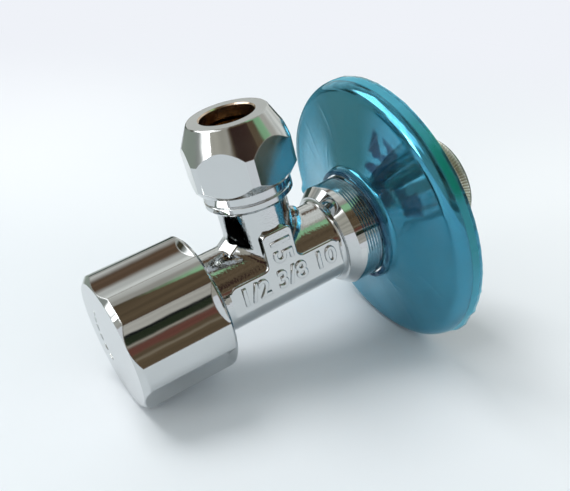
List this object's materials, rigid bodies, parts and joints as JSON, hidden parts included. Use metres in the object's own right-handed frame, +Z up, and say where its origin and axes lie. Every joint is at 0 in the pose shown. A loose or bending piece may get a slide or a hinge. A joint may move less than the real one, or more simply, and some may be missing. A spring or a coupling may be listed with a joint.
{
  "type": "angle stop valve",
  "caption": "Chromed angle stop valve with a lobed turning knob, male wall inlet, compression nut outlet and a round wall plate still in blue film",
  "frame": {"origin": "on the inlet axis at the wall plane, which is the back of the wall plate", "axes": "+Y along the inlet into the wall, -Y towards the knob, +Z up along the outlet, +X towards the side whose forged flat shows in the picture"},
  "size_m": [0.056, 0.0762, 0.0595],
  "materials": {
    "body_chrome": "mirror chrome over brass, threads sharper than the forged part",
    "knob_chrome": "mirror chrome",
    "nut_chrome": "mirror chrome, turned cone above the flats",
    "plate_chrome": "mirror chrome on pressed sheet",
    "bare_brass": "machined",
    "spring_steel": "drawn",
    "seal_rubber": "matt",
    "fibre": "pressed fibre",
    "ring_plastic": "smooth",
    "core_plastic": "moulded",
    "film_plastic": "thin clear blue film, wrinkled"
  },
  "bodies": {
    "valve": {"valve_body": "body_chrome", "bonnet": "bare_brass", "bonnet_gasket": "fibre"},
    "knob": {"spindle": "bare_brass", "spindle_seal_inner": "seal_rubber", "spindle_seal_outer": "seal_rubber", "thrust_ring": "ring_plastic", "retaining_clip": "spring_steel", "knob_shell": "knob_chrome", "knob_core": "core_plastic", "grip_ring": "spring_steel"},
    "plunger": {"plunger": "bare_brass", "seat_washer": "seal_rubber", "washer_screw": "bare_brass"},
    "olive": {"olive": "bare_brass"},
    "nut": {"compression_nut": "nut_chrome"},
    "wall_plate": {"escutcheon": "plate_chrome", "protective_film": "film_plastic"}
  },
  "joints": [
    {"name": "knob_turn", "type": "hinge", "parent": "valve", "child": "knob", "pos_m": [0, -0.05, 0], "axis": [0, -1, 0], "range_deg": [0, 1080]},
    {"name": "plunger_travel", "type": "slide", "parent": "valve", "child": "plunger", "axis": [0, -1, 0], "range_m": [0, 0.003]},
    {"name": "nut_lift", "type": "slide", "parent": "valve", "child": "olive", "axis": [0, 0, 1], "range_m": [0, 0.00669]},
    {"name": "nut_turn", "type": "hinge", "parent": "olive", "child": "nut", "pos_m": [0, -0.0288, 0.025], "axis": [0, 0, 1], "range_deg": [0, 1800]},
    {"name": "plate_slide", "type": "slide", "parent": "valve", "child": "wall_plate", "axis": [0, -1, 0], "range_m": [0, 0.0115]}
  ],
  "couplings": [
    {"joint": "plunger_travel", "follows": "knob_turn", "m_per_rad": 0.00015915},
    {"joint": "nut_lift", "follows": "nut_turn", "m_per_rad": 0.00021279}
  ]
}
